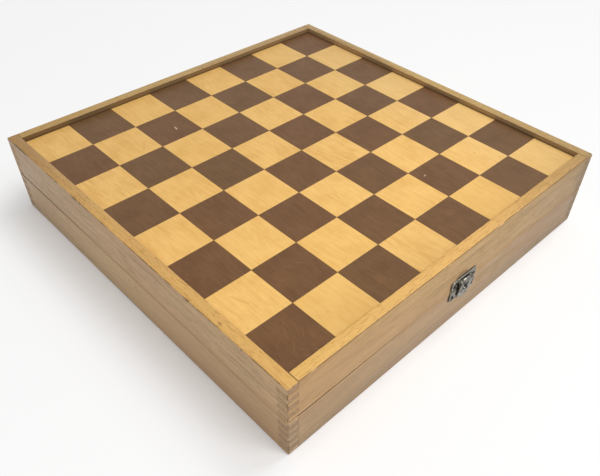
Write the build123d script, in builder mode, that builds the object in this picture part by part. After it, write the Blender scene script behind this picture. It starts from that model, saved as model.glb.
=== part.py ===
"""Games compendium box.

A finger-jointed wooden case in two hinged halves. The lid carries a veneered chessboard set
below its rim, the base is divided into compartments, and a stamped hasp clasp shuts the front.

Frame, in millimetres: the origin lies under the middle of the case on the surface it stands on,
+X runs to the right along the front, +Y from the clasp to the hinges, and +Z up.
"""
from build123d import *
import os

os.makedirs("parts", exist_ok=True)

# Case
square = 35.0               # side of one chess square
squares_per_side = 8
wall = 7.5                  # thickness of the solid-wood walls
base_height = 30.7
lid_height = 29.2
seam_gap = 0.3              # between the halves when the box is shut
corner_bevel = 0.6          # along the upright outer corners
edge_ease = 0.5             # small bevel along every outer edge of a half

# Finger joints
finger = 3.2                # height of one finger, and of the space between two
lid_first_finger = 1.3      # lid's lower edge to its lowest finger
base_first_finger = 4.0     # base's upper edge to its highest finger
glue_line = 0.05

# Panels, let into grooves
panel = 3.6                 # thickness of the plywood
groove_depth = 3.0
panel_play = 0.1            # in the groove, above the panel and at its edges
floor_recess = 3.0          # underside of the bottom panel above the resting edge

# Chessboard
board_recess = 3.8          # top of the squares below the rim
veneer = 0.6
inlay_gap = 0.04            # hairline between two squares

# Dividers
divider = 4.0
divider_drop = 2.0          # top of the dividers below the base's upper edge
housing_depth = 2.0         # how far a divider is let into a wall
rear_row_depth = 95.0       # clear depth of the compartments along the hinges
joint_play = 0.1            # in the housings and the half laps

# Butt hinges
hinge_length = 25.0
hinge_inset = 62.0          # end of the case to the middle of a hinge
leaf_width = 6.0
leaf = 1.0                  # thickness of a leaf
barrel_radius = 1.9
barrel_stand_off = 0.2      # barrel clear of the back of the case
hinge_pin_radius = 0.9
running_clearance = 0.05    # radial, pin in knuckle
knuckle_gap = 0.15          # between neighbouring knuckles
mortise_play = 0.1

# Hinge screws
screw_spacing = 15.0
screw_radius = 1.0          # the head widens from it at 45 degrees through the leaf
screw_length = 8.0
fastener_clearance = 0.05   # radial, in metal and in wood

# Clasp
plate = 0.7                 # thickness of the clasp's sheet metal
plate_width = 25.0
plate_corner = 1.0          # clipped corners
lid_plate_height = 7.1
base_plate_height = 8.6
nail_spacing = 19.7
lid_nail_rise = 3.0         # lid's lower edge to the nails above it
base_nail_drop = 5.8        # base's upper edge to the nails below it
nail_radius = 0.6
nail_head_radius = 1.2
nail_head = 0.55            # height of the head
nail_length = 5.4

# Hasp, its pivot and the nose that it drops over
hasp_rise = 5.0             # lid's lower edge to the pivot
hasp_stand_off = 1.9        # front of the case to the pivot
hasp_barrel_radius = 1.15
hasp_pin_radius = 0.5
hasp_width = 12.4
hasp_neck = 6.9             # width of the hasp's own knuckle
hasp_drop = 15.5            # pivot to the bottom of the thumb lobe
eye_width = 5.2
eye_top = 2.2               # pivot to the top of the eye
eye_bottom = 7.8            # pivot to the bottom of the eye
thumb_reach = 3.6           # front of the case to the middle of the lobe's turned-out lip
hasp_waist = 1.9            # front of the case to the middle of the sheet above the lobe
hasp_bend = 3.0
nose_width = 3.6
nose_reach = 3.2            # front of the case to the middle of the nose's turned-down lip
nose_root = 1.3             # base's upper edge to the middle of the nose where it leaves the plate
nose_lip = 1.0              # height of the turned-down lip
nose_bend = 0.8
nose_window = 3.4           # height of the opening that the nose is cut from

# Sizes that follow
inner = square * squares_per_side
case_width = inner + 2 * wall
half_width = case_width / 2
wall_line = (case_width - wall) / 2
lid_bottom = base_height + seam_gap
seam_level = base_height + seam_gap / 2
rim_level = lid_bottom + lid_height
finger_pitch = 2 * finger
lid_fingers = int((lid_height - lid_first_finger) // finger_pitch)
base_fingers = int((base_height - base_first_finger) // finger_pitch)
floor_level = floor_recess + panel
board_level = rim_level - board_recess - veneer
panel_width = inner + 2 * (groove_depth - panel_play)

divider_level = base_height - divider_drop
lap_level = (floor_level + divider_level) / 2
divider_length = inner + 2 * (housing_depth - joint_play)
long_divider_y = inner / 2 - rear_row_depth - divider / 2
cross_divider_x = inner / 6

hinge_x = half_width - hinge_inset
hinge_axis_y = half_width + barrel_stand_off + barrel_radius
knuckle = (hinge_length - 2 * knuckle_gap) / 3
screw_line = half_width - leaf_width / 2
screw_head_radius = screw_radius + leaf

front_plane = Plane.XZ.offset(half_width)
plate_plane = Plane.XZ.offset(half_width + plate)
lid_plate_bottom = lid_bottom + edge_ease
base_plate_top = base_height - edge_ease
hasp_axis_y = -(half_width + hasp_stand_off)
hasp_axis_z = lid_bottom + hasp_rise
hasp_lug = (hasp_width - hasp_neck) / 2 - knuckle_gap
hasp_lug_x = (hasp_width - hasp_lug) / 2


def finish(part, name):
    """Label one finished piece and write it out."""
    part.label = name
    export_step(part, f"parts/{name}.step")


def half_block(bottom, height):
    """Outer form of one half of the case, with bevelled uprights and eased edges."""
    with BuildPart() as block:
        with BuildSketch(Plane.XY.offset(bottom)) as outline:
            Rectangle(case_width, case_width)
            chamfer(outline.vertices(), corner_bevel)
        extrude(amount=height)
        chamfer(block.faces().filter_by(Axis.Z).edges(), edge_ease)
    return block.part


def cross_wall(bottom, height, finger_heights, side, block):
    """Front or back wall of one half. Its fingers reach out through the side walls."""
    with BuildPart() as piece:
        with BuildSketch(Plane.XY.offset(bottom)):
            with Locations((0, side * wall_line)):
                Rectangle(inner - 2 * glue_line, wall)
        extrude(amount=height)
        for finger_height in finger_heights:
            with BuildSketch(Plane.XY.offset(finger_height)):
                with Locations((0, side * wall_line)):
                    Rectangle(case_width, wall)
            extrude(amount=finger)
        add(block, mode=Mode.INTERSECT)
    return piece.part


def side_wall(bottom, height, finger_heights, side, block):
    """Left or right wall of one half, socketed at both ends for the fingers of its neighbours."""
    with BuildPart() as piece:
        with BuildSketch(Plane.XY.offset(bottom)):
            with Locations((side * wall_line, 0)):
                Rectangle(wall, case_width)
        extrude(amount=height)
        for finger_height in finger_heights:
            with BuildSketch(Plane.XY.offset(finger_height - glue_line)):
                with Locations((side * wall_line, wall_line), (side * wall_line, -wall_line)):
                    Rectangle(wall, wall + 2 * glue_line)
            extrude(amount=finger + 2 * glue_line, mode=Mode.SUBTRACT)
        add(block, mode=Mode.INTERSECT)
    return piece.part


def panel_groove(level):
    """The space of a panel's groove all round, with its underside at this level."""
    with BuildPart() as groove:
        with BuildSketch(Plane.XY.offset(level)):
            Rectangle(inner + 2 * groove_depth, inner + 2 * groove_depth)
        extrude(amount=panel + panel_play)
    return groove.part


screw_places = []
for hinge_side in (-1, 1):
    for screw_side in (-1, 1):
        screw_places.append((hinge_side * hinge_x + screw_side * screw_spacing / 2, screw_line))

nail_places = []
for nail_level in (lid_bottom + lid_nail_rise, base_height - base_nail_drop):
    for nail_side in (-1, 1):
        nail_places.append((nail_side * nail_spacing / 2, nail_level))
lid_nail_places = nail_places[:2]
base_nail_places = nail_places[2:]

# What is cut away from more than one piece
base_groove = panel_groove(floor_recess)
lid_groove = panel_groove(board_level - panel)

with BuildPart() as divider_housings:
    with BuildSketch(Plane.XY.offset(floor_level)):
        with Locations((cross_divider_x, 0), (-cross_divider_x, 0)):
            Rectangle(divider + 2 * joint_play, inner + 2 * housing_depth)
        with Locations((0, long_divider_y)):
            Rectangle(inner + 2 * housing_depth, divider + 2 * joint_play)
    extrude(amount=base_height - floor_level)

with BuildPart() as base_hinge_cuts:
    with BuildSketch(Plane.XY.offset(base_height)):
        with Locations((hinge_x, half_width), (-hinge_x, half_width)):
            Rectangle(hinge_length + 2 * mortise_play, 2 * (leaf_width + mortise_play))
    extrude(amount=-leaf)
    with BuildSketch(Plane.XY.offset(base_height)):
        with Locations(*screw_places):
            Circle(screw_radius + fastener_clearance)
    extrude(amount=-(screw_length + fastener_clearance))

with BuildPart() as lid_hinge_cuts:
    mirror(base_hinge_cuts.part, about=Plane.XY.offset(seam_level))

with BuildPart() as nail_holes:
    with BuildSketch(plate_plane):
        with Locations(*nail_places):
            Circle(nail_radius + fastener_clearance)
    extrude(amount=-(nail_length + fastener_clearance))

# Base walls
base_finger_heights = [
    base_height - base_first_finger - finger - i * finger_pitch for i in range(base_fingers)
]
base_block = half_block(0, base_height)

with BuildPart() as base_front_wall:
    add(cross_wall(0, base_height, base_finger_heights, -1, base_block))
    add(base_groove, mode=Mode.SUBTRACT)
    add(divider_housings.part, mode=Mode.SUBTRACT)
    add(nail_holes.part, mode=Mode.SUBTRACT)
finish(base_front_wall.part, "base_front_wall")

with BuildPart() as base_back_wall:
    add(cross_wall(0, base_height, base_finger_heights, 1, base_block))
    add(base_groove, mode=Mode.SUBTRACT)
    add(divider_housings.part, mode=Mode.SUBTRACT)
    add(base_hinge_cuts.part, mode=Mode.SUBTRACT)
finish(base_back_wall.part, "base_back_wall")

for side, name in ((-1, "base_left_wall"), (1, "base_right_wall")):
    with BuildPart() as base_side_wall:
        add(side_wall(0, base_height, base_finger_heights, side, base_block))
        add(base_groove, mode=Mode.SUBTRACT)
        add(divider_housings.part, mode=Mode.SUBTRACT)
    finish(base_side_wall.part, name)

# Lid walls
lid_finger_heights = [lid_bottom + lid_first_finger + i * finger_pitch for i in range(lid_fingers)]
lid_block = half_block(lid_bottom, lid_height)

with BuildPart() as lid_front_wall:
    add(cross_wall(lid_bottom, lid_height, lid_finger_heights, -1, lid_block))
    add(lid_groove, mode=Mode.SUBTRACT)
    add(nail_holes.part, mode=Mode.SUBTRACT)
finish(lid_front_wall.part, "lid_front_wall")

with BuildPart() as lid_back_wall:
    add(cross_wall(lid_bottom, lid_height, lid_finger_heights, 1, lid_block))
    add(lid_groove, mode=Mode.SUBTRACT)
    add(lid_hinge_cuts.part, mode=Mode.SUBTRACT)
finish(lid_back_wall.part, "lid_back_wall")

for side, name in ((-1, "lid_left_wall"), (1, "lid_right_wall")):
    with BuildPart() as lid_side_wall:
        add(side_wall(lid_bottom, lid_height, lid_finger_heights, side, lid_block))
        add(lid_groove, mode=Mode.SUBTRACT)
    finish(lid_side_wall.part, name)

# Panels
for level, name in ((floor_recess, "base_bottom_panel"), (board_level - panel, "lid_board_panel")):
    with BuildPart() as panel_piece:
        with BuildSketch(Plane.XY.offset(level)):
            Rectangle(panel_width, panel_width)
        extrude(amount=panel)
    finish(panel_piece.part, name)

# Chess squares: a dark one in the front left corner, and then by turns
dark_places = []
light_places = []
for column in range(squares_per_side):
    for row in range(squares_per_side):
        place = ((column + 0.5) * square - inner / 2, (row + 0.5) * square - inner / 2)
        if (column + row) % 2 == 0:
            dark_places.append(place)
        else:
            light_places.append(place)

for places, name in ((dark_places, "board_dark_squares"), (light_places, "board_light_squares")):
    with BuildPart() as veneer_squares:
        with BuildSketch(Plane.XY.offset(board_level)):
            with Locations(*places):
                Rectangle(square - inlay_gap, square - inlay_gap)
        extrude(amount=veneer)
    finish(veneer_squares.part, name)

# Dividers, half-lapped where they cross: the long one is slotted from above
with BuildPart() as long_divider:
    with BuildSketch(Plane.XY.offset(floor_level)):
        with Locations((0, long_divider_y)):
            Rectangle(divider_length, divider)
    extrude(amount=divider_level - floor_level)
    with BuildSketch(Plane.XY.offset(divider_level)):
        with Locations((cross_divider_x, long_divider_y), (-cross_divider_x, long_divider_y)):
            Rectangle(divider + 2 * joint_play, divider)
    extrude(amount=lap_level - divider_level - joint_play, mode=Mode.SUBTRACT)
finish(long_divider.part, "long_divider")

for side, name in ((-1, "left_cross_divider"), (1, "right_cross_divider")):
    with BuildPart() as cross_divider:
        with BuildSketch(Plane.XY.offset(floor_level)):
            with Locations((side * cross_divider_x, 0)):
                Rectangle(divider, divider_length)
        extrude(amount=divider_level - floor_level)
        with BuildSketch(Plane.XY.offset(floor_level)):
            with Locations((side * cross_divider_x, long_divider_y)):
                Rectangle(divider, divider + 2 * joint_play)
        extrude(amount=lap_level - floor_level, mode=Mode.SUBTRACT)
    finish(cross_divider.part, name)


# Hinges
def hinge_leaf(middle, face_level, into, knuckle_places):
    """One leaf, flush in its mortise, with the knuckles that stand out behind the case."""
    drill_plane = Plane(origin=(0, 0, face_level), x_dir=(1, 0, 0), z_dir=(0, 0, -into))
    with BuildPart() as piece:
        with BuildSketch(Plane.XY.offset(face_level)):
            with Locations((middle, screw_line)):
                Rectangle(hinge_length, leaf_width)
        extrude(amount=into * leaf)
        with BuildSketch(Plane.XY.offset(face_level)):
            with Locations(*[(middle + place, hinge_axis_y) for place in knuckle_places]):
                Rectangle(knuckle, hinge_axis_y - half_width, align=(Align.CENTER, Align.MAX))
        extrude(amount=into * leaf)
        for place in knuckle_places:
            with BuildSketch(Plane.YZ.offset(middle + place - knuckle / 2)):
                with Locations((hinge_axis_y, seam_level)):
                    Circle(barrel_radius)
            extrude(amount=knuckle)
        with BuildSketch(Plane.YZ.offset(middle - hinge_length / 2)):
            with Locations((hinge_axis_y, seam_level)):
                Circle(hinge_pin_radius + running_clearance)
        extrude(amount=hinge_length, mode=Mode.SUBTRACT)
        with Locations(drill_plane):
            with Locations(
                (middle + screw_spacing / 2, -into * screw_line),
                (middle - screw_spacing / 2, -into * screw_line),
            ):
                Cone(
                    screw_radius + fastener_clearance,
                    screw_head_radius + fastener_clearance,
                    leaf,
                    align=(Align.CENTER, Align.CENTER, Align.MAX),
                    mode=Mode.SUBTRACT,
                )
    return piece.part


outer_knuckle = knuckle + knuckle_gap
for side, name in ((-1, "left"), (1, "right")):
    middle = side * hinge_x
    base_leaf = hinge_leaf(middle, base_height, -1, (-outer_knuckle, outer_knuckle))
    finish(base_leaf, f"{name}_hinge_base_leaf")
    lid_leaf = hinge_leaf(middle, lid_bottom, 1, (0,))
    finish(lid_leaf, f"{name}_hinge_lid_leaf")
    with BuildPart() as hinge_pin:
        with BuildSketch(Plane.YZ.offset(middle - hinge_length / 2)):
            with Locations((hinge_axis_y, seam_level)):
                Circle(hinge_pin_radius)
        extrude(amount=hinge_length)
    finish(hinge_pin.part, f"{name}_hinge_pin")

# Hinge screws: countersunk, driven down into the base and up into the lid
with BuildPart() as hinge_base_screws:
    with BuildSketch(Plane.XY.offset(base_height)):
        with Locations(*screw_places):
            Circle(screw_radius)
    extrude(amount=-screw_length)
    with Locations(*[(x, y, base_height) for x, y in screw_places]):
        Cone(screw_radius, screw_head_radius, leaf, align=(Align.CENTER, Align.CENTER, Align.MAX))
finish(hinge_base_screws.part, "hinge_base_screws")

with BuildPart() as hinge_lid_screws:
    mirror(hinge_base_screws.part, about=Plane.XY.offset(seam_level))
finish(hinge_lid_screws.part, "hinge_lid_screws")


# Clasp
def nail_pair(places):
    """Two round-headed nails that hold a clasp plate to the case."""
    with BuildPart() as nails:
        with BuildSketch(plate_plane):
            with Locations(*places):
                Circle(nail_head_radius)
        extrude(amount=nail_head)
        with BuildSketch(plate_plane):
            with Locations(*places):
                Circle(nail_radius)
        extrude(amount=-nail_length)
    return nails.part


def clasp_plate(bottom, height):
    """Flat plate on the front of the case, ready for its nails."""
    with BuildPart() as piece:
        with BuildSketch(front_plane) as outline:
            with Locations((0, bottom + height / 2)):
                Rectangle(plate_width, height)
            chamfer(outline.vertices(), plate_corner)
        extrude(amount=plate)
    return piece.part


with BuildPart() as clasp_lid_plate:
    add(clasp_plate(lid_plate_bottom, lid_plate_height))
    add(nail_holes.part, mode=Mode.SUBTRACT)
    for lug_side in (-1, 1):
        with BuildSketch(Plane.YZ.offset(lug_side * hasp_lug_x - hasp_lug / 2)):
            with Locations((hasp_axis_y, hasp_axis_z)):
                Circle(hasp_barrel_radius)
            with Locations((hasp_axis_y, hasp_axis_z + hasp_barrel_radius)):
                Rectangle(hasp_stand_off, plate, align=(Align.MIN, Align.MAX))
            with Locations((hasp_axis_y, hasp_axis_z)):
                Circle(hasp_pin_radius + running_clearance, mode=Mode.SUBTRACT)
        extrude(amount=hasp_lug)
finish(clasp_lid_plate.part, "clasp_lid_plate")

with BuildPart() as clasp_base_plate:
    add(clasp_plate(base_plate_top - base_plate_height, base_plate_height))
    add(nail_holes.part, mode=Mode.SUBTRACT)
    nose_y = -(half_width + nose_reach)
    nose_z = base_height - nose_root
    with BuildSketch(front_plane):
        with Locations((0, nose_z - plate / 2)):
            Rectangle(nose_width + plate, nose_window, align=(Align.CENTER, Align.MAX))
    extrude(amount=plate, mode=Mode.SUBTRACT)
    with BuildSketch(Plane.YZ):
        with BuildLine():
            FilletPolyline(
                (-half_width, nose_z),
                (nose_y, nose_z),
                (nose_y, nose_z - nose_lip),
                radius=nose_bend,
            )
        trace(line_width=plate)
    extrude(amount=nose_width / 2, both=True)
finish(clasp_base_plate.part, "clasp_base_plate")

with BuildPart() as clasp_hasp:
    sheet_y = hasp_axis_y - hasp_barrel_radius + plate / 2
    waist_y = -(half_width + hasp_waist)
    thumb_y = -(half_width + thumb_reach)
    lobe_radius = hasp_width / 2
    lobe_z = hasp_axis_z - hasp_drop + lobe_radius
    with BuildSketch(Plane.YZ):
        with BuildLine():
            FilletPolyline(
                (sheet_y, hasp_axis_z),
                (sheet_y, hasp_axis_z - eye_top),
                (waist_y, lobe_z),
                (thumb_y, hasp_axis_z - hasp_drop),
                radius=hasp_bend,
            )
        trace(line_width=plate)
        with Locations((hasp_axis_y, hasp_axis_z)):
            Circle(hasp_barrel_radius)
    extrude(amount=hasp_width / 2, both=True)
    with BuildSketch(Plane.XZ.offset(half_width)):
        shoulder_z = hasp_axis_z - hasp_barrel_radius - 2 * knuckle_gap
        with Locations((0, hasp_axis_z + hasp_barrel_radius)):
            Rectangle(hasp_neck, 2 * hasp_barrel_radius + lobe_radius, align=(Align.CENTER, Align.MAX))
        with Locations((0, shoulder_z)):
            Rectangle(hasp_width, shoulder_z - lobe_z, align=(Align.CENTER, Align.MAX))
        with Locations((0, lobe_z)):
            Circle(lobe_radius)
        with Locations((0, hasp_axis_z - eye_top)):
            Rectangle(
                eye_width,
                eye_bottom - eye_top,
                align=(Align.CENTER, Align.MAX),
                mode=Mode.SUBTRACT,
            )
    extrude(amount=2 * thumb_reach, mode=Mode.INTERSECT)
    with BuildSketch(Plane.YZ.offset(-hasp_width / 2)):
        with Locations((hasp_axis_y, hasp_axis_z)):
            Circle(hasp_pin_radius + running_clearance)
    extrude(amount=hasp_width, mode=Mode.SUBTRACT)
finish(clasp_hasp.part, "clasp_hasp")

with BuildPart() as clasp_hasp_pin:
    with BuildSketch(Plane.YZ.offset(-hasp_width / 2)):
        with Locations((hasp_axis_y, hasp_axis_z)):
            Circle(hasp_pin_radius)
    extrude(amount=hasp_width)
finish(clasp_hasp_pin.part, "clasp_hasp_pin")

finish(nail_pair(lid_nail_places), "clasp_lid_nails")
finish(nail_pair(base_nail_places), "clasp_base_nails")

print("case", case_width, "high", rim_level, "lid hinge", hinge_axis_y, seam_level)
print("hasp hinge", hasp_axis_y, hasp_axis_z, "fingers", base_fingers, lid_fingers)
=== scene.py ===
"""Looks of the games compendium box: its woods, veneers and metals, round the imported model."""
import math

import bmesh
import bpy
from mathutils import Euler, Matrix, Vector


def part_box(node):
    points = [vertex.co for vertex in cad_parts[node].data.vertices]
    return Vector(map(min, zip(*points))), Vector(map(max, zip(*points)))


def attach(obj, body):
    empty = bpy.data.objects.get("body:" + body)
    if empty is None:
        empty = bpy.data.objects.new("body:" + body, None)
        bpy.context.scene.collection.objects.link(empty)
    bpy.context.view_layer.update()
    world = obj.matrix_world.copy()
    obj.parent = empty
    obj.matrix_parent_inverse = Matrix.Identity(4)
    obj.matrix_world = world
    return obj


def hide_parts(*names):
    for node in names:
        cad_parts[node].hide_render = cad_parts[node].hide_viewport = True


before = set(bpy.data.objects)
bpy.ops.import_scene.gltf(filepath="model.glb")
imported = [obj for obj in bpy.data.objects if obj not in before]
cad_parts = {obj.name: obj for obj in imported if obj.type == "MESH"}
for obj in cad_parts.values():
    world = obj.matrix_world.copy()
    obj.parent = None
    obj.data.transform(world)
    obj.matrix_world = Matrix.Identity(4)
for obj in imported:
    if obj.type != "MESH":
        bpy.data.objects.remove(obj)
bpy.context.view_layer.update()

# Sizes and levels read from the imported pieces, in metres. The case stands round the Z axis
lid_low, lid_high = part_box("lid_left_wall")
base_low, base_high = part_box("base_left_wall")
plate_low, plate_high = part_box("clasp_lid_plate")
hasp_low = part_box("clasp_hasp")[0]
CASE_SIDE = -lid_low.x
INNER_SIDE = -lid_high.x
SQUARE = INNER_SIDE / 4
RIM = lid_high.z
LID_EDGE = lid_low.z
BASE_EDGE = base_high.z
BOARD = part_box("board_dark_squares")[1].z
FRONT, BACK, LEFT, RIGHT, UP = (0, -1, 0), (0, 1, 0), (-1, 0, 0), (1, 0, 0), (0, 0, 1)

# Finger joints: the lowest and the highest glue line at a corner of the lid and of the base
FINGER = 0.0032
FINGERS = 7
LID_SHOULDER, BASE_SHOULDER = 0.0013, 0.0040
LINES_REACH = 0.0004                    # how far past its first and last line a corner still has glue
LID_LINES = LID_EDGE + LID_SHOULDER, LID_EDGE + LID_SHOULDER + FINGERS * FINGER
BASE_LINES = BASE_EDGE - BASE_SHOULDER - FINGERS * FINGER, BASE_EDGE - BASE_SHOULDER

# How far sharp edges are rounded over, and how near to a joint, a corner or a level an edge counts as at it
WALL_EASE, JOINT_EASE, CORNER_EASE = 0.00022, 0.0001, 0.00024
DIVIDER_EASE = 0.0002
PLATE_EASE, HASP_EASE, LEAF_EASE = 0.00012, 0.00016, 0.0001
SHARP = math.radians(24)
FLAT = math.radians(0.4)
BY_JOINT, BY_CORNER, BY_LEVEL = 0.0005, 0.0018, 0.0007
SAME_PLACE, SAME_RING = 1e-6, 1e-7      # points nearer than this are one point

# The clasp: its sheet, the cut corners of its plates, and their border as (inset, height) steps
SHEET = 0.0007
PLATE_CORNER = 0.0010
BORDER_STEPS = (0.00012, -0.00002), (0.00030, 0.00016), (0.00078, 0.00016), (0.00100, -0.00002)
LOBE_HEIGHT, LOBE_IN, LOBE_UP = 0.0062, 0.0017, 0.0005

# Fasteners
NAIL_SHANK = 0.0006
SCREW_SHANK, SCREW_HEAD_HEIGHT, SCREW_SLOT = 0.001, 0.001, 0.0005
CREASE = math.radians(34)

# Paper floor and studio air
PAPER = 0.97                            # white of the paper, as it is seen
DOME = 0.46                             # light that the studio gives from all round
LIFT_NEAR, LIFT_FAR = 0.2, 0.68         # share of that white kept by shadows near the box and away from it
LIFT_START, LIFT_END = 0.012, 0.045     # distances from the box between which the share grows
FLOOR_REACH, FLOOR_DROP = 6, 0.00005


def tone(red, green, blue):
    """A colour as a colour picker shows it, turned into the light values that a shader wants."""
    return tuple(
        part / 255 / 12.92 if part <= 10 else ((part / 255 + 0.055) / 1.055) ** 2.4
        for part in (red, green, blue)
    ) + (1.0,)


def scaled(colour, red, green=None, blue=None):
    """A picked colour with its parts multiplied, all by the first number where only one is given."""
    scales = (red, red if green is None else green, red if blue is None else blue)
    return tone(*[min(255, part * scale) for part, scale in zip(colour, scales)])


# ---------------------------------------------------------------- node trees

def both_ways(operation):
    """The two methods of an operator: one for a reading on its left, one for a reading on its right."""
    def on_left(self, other):
        return self.bench.maths(operation, self, other)

    def on_right(self, other):
        return self.bench.maths(operation, other, self)

    return on_left, on_right


class Reading:
    """A socket of a node tree. Maths written on it adds Math nodes."""

    def __init__(self, bench, socket):
        self.bench = bench
        self.socket = socket

    __add__, __radd__ = both_ways("ADD")
    __sub__, __rsub__ = both_ways("SUBTRACT")
    __mul__, __rmul__ = both_ways("MULTIPLY")
    __truediv__, __rtruediv__ = both_ways("DIVIDE")
    __pow__, __rpow__ = both_ways("POWER")

    def __neg__(self):
        return self * -1

    def __abs__(self):
        return self.bench.maths("ABSOLUTE", self)

    def __lt__(self, other):
        return self.bench.maths("LESS_THAN", self, other)

    def __gt__(self, other):
        return self.bench.maths("GREATER_THAN", self, other)

    def smaller(self, other):
        return self.bench.maths("MINIMUM", self, other)

    def larger(self, other):
        return self.bench.maths("MAXIMUM", self, other)

    def whole(self):
        return self.bench.maths("FLOOR", self)

    def fraction(self):
        return self.bench.maths("FRACT", self)


class Bench:
    """A node tree, with the one way in which nodes are added to it."""

    def __init__(self, tree):
        self.tree = tree

    def node(self, kind, settings=None, values=None, output=0):
        """Adds a node and reads its output. A list of readings goes to a socket that takes several."""
        made = self.tree.nodes.new(kind)
        for name, setting in (settings or {}).items():
            setattr(made, name, setting)
        for key, value in (values or {}).items():
            for part in value if isinstance(value, list) else [value]:
                if isinstance(part, Reading):
                    self.tree.links.new(part.socket, made.inputs[key])
                else:
                    made.inputs[key].default_value = part
        return Reading(self, made.outputs[output]) if made.outputs else None

    def maths(self, operation, *values):
        return self.node("ShaderNodeMath", {"operation": operation}, dict(enumerate(values)))


class Finish(Bench):
    """A material that is worked out from where a point lies on its piece."""

    def __init__(self, name):
        self.material = bpy.data.materials.new(name)
        self.material.use_nodes = True
        super().__init__(self.material.node_tree)
        self.tree.nodes.clear()
        self.place = self.node("ShaderNodeTexCoord", output="Object")
        self.facing = self.node("ShaderNodeTexCoord", output="Normal")
        self.x, self.y, self.z = self.parts(self.place)

    def parts(self, vector):
        split = self.node("ShaderNodeSeparateXYZ", values={0: vector}).socket.node
        return tuple(Reading(self, output) for output in split.outputs)

    def point(self, x, y, z):
        return self.node("ShaderNodeCombineXYZ", values={0: x, 1: y, 2: z})

    def noise(self, point, scale=1.0, detail=2.0, roughness=0.5):
        return self.node(
            "ShaderNodeTexNoise",
            values={"Vector": point, "Scale": scale, "Detail": detail, "Roughness": roughness},
        )

    def rise(self, value, low, high, start=0.0, end=1.0):
        """Goes smoothly from start to end while the value goes from low to high."""
        return self.node(
            "ShaderNodeMapRange",
            {"interpolation_type": "SMOOTHSTEP"},
            {0: value, 1: low, 2: high, 3: start, 4: end},
        )

    def fall(self, value, low, high):
        """Goes smoothly from one to nought while the value goes from low to high."""
        return self.rise(value, low, high, 1.0, 0.0)

    def toward(self, direction, low=0.7, high=0.9):
        """One on faces that look in this direction."""
        along = self.node(
            "ShaderNodeVectorMath", {"operation": "DOT_PRODUCT"}, {0: self.facing, 1: direction}, "Value"
        )
        return self.rise(along, low, high)

    def mix(self, share, first, second, way="MIX"):
        return self.node(
            "ShaderNodeMix", {"data_type": "RGBA", "blend_type": way}, {0: share, 6: first, 7: second}, 2
        )

    def shade(self, colour, amount):
        """A colour made lighter or darker by a number."""
        colour = colour if isinstance(colour, Reading) else colour[:3]
        return self.node("ShaderNodeVectorMath", {"operation": "SCALE"}, {0: colour, "Scale": amount})

    def spot(self, centre, reach, turn=0.0, ragged=0.35, grain=900.0):
        """One inside a ragged oval on the piece, and nought outside."""
        inside = self.node(
            "ShaderNodeMapping",
            {"vector_type": "TEXTURE"},
            {"Vector": self.place, "Location": centre, "Rotation": (0, 0, turn), "Scale": reach},
        )
        away = self.node("ShaderNodeVectorMath", {"operation": "LENGTH"}, {0: inside}, "Value")
        edge = (self.noise(self.place, grain) - 0.5) * ragged * 2
        return self.fall(away + edge, 0.55, 1.0)

    def cover(self, colour, roughness, relief, depth, fixed=None):
        """Ends the finish: a colour, a roughness, a relief of some depth, and what is the same all over."""
        bump = self.node("ShaderNodeBump", values={"Strength": 1.0, "Distance": depth, "Height": relief})
        values = {"Base Color": colour, "Roughness": roughness, "Normal": bump, **(fixed or {})}
        surface = self.node("ShaderNodeBsdfPrincipled", values=values)
        self.node("ShaderNodeOutputMaterial", values={"Surface": surface})
        return self.material


# ---------------------------------------------------------------- woods

class Wood(Finish):
    """A board with growth rings round the log's heart, broad and fine fibres, and short rays."""

    def __init__(self, name, along, heart, ring_width, sway, seed):
        super().__init__(name)
        self.length, self.across = (self.x, self.y) if along == "X" else (self.y, self.x)
        self.seed = seed
        self.drift = self.fibres(4, 18)
        out_from_heart = ((self.across - heart[0]) ** 2 + (self.z - heart[1]) ** 2) ** 0.5
        ring = ((out_from_heart + (self.drift - 0.5) * sway) * (1 / ring_width)).fraction()
        self.late = self.rise(ring, 0.3, 0.9) * self.fall(ring, 0.9, 1.0)
        self.broad = self.fibres(28, 520, detail=3.0)
        self.fine = self.fibres(60, 2600)
        self.rays = self.rise(self.fibres(210, 1500, detail=1.0), 0.62, 0.75)

    def fibres(self, down, through, detail=2.0, roughness=0.5):
        """Noise drawn out along the grain: how many times a metre it changes down it and through it."""
        spread = self.point(self.length * down + self.seed, self.across * through, self.z * through)
        return self.noise(spread, detail=detail, roughness=roughness)


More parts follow.
